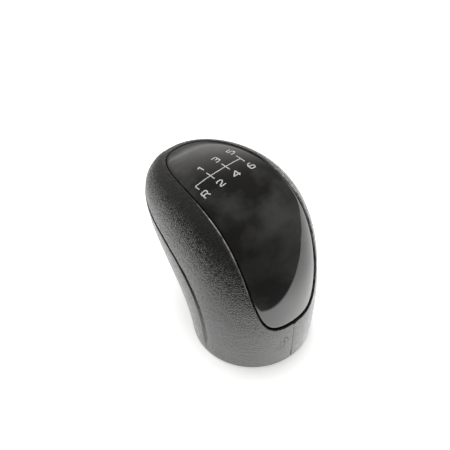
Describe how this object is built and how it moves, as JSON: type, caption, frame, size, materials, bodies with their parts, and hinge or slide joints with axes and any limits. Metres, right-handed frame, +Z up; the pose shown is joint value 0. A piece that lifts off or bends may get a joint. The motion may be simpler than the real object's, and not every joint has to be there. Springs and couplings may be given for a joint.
{
  "type": "gear shift knob",
  "caption": "Gear shift knob for a manual lever: soft grained charcoal grip with side grooves, gloss black pattern plate let into its back, stiff core with a lever socket.",
  "frame": {"origin": "centre of the foot, on the lever's axis, at the mouth of the lever bore", "axes": "+Z up along the lever, +Y forward towards the nose, +X to the car's right"},
  "size_m": [0.0496, 0.0774, 0.0723],
  "materials": {
    "grained_skin": "leather grain",
    "gloss_plate": "gloss",
    "core_plastic": "moulded",
    "sleeve_metal": "turned",
    "ring_metal": "spring steel"
  },
  "bodies": {
    "root": {"grip_skin": "grained_skin", "pattern_plate": "gloss_plate", "core": "core_plastic", "lever_sleeve": "sleeve_metal", "snap_ring": "ring_metal"}
  },
  "joints": []
}
